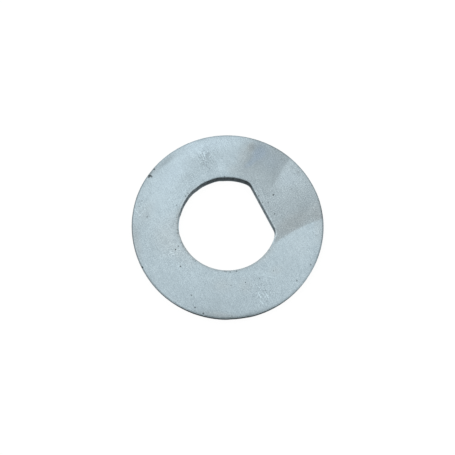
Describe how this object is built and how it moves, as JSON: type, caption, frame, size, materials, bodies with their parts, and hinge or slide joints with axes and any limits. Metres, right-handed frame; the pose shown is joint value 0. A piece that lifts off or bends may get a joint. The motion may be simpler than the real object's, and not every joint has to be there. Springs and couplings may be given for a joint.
{
  "type": "axle washer",
  "caption": "Flat stamped steel washer with a D-shaped hole that keys it to an axle with a flat.",
  "frame": {"origin": "on the axis of the hole's round part, in the plane of the underside", "axes": "+Z along the axle's axis, up through the upper face; +X square to the hole's flat side, from the axis towards it"},
  "size_m": [0.0508, 0.0508, 0.0031],
  "materials": {
    "zinc_plated_steel": "dull bluish zinc plating over sheet steel, with a fine mottled grain"
  },
  "bodies": {
    "root": {"washer": "zinc_plated_steel"}
  },
  "joints": []
}
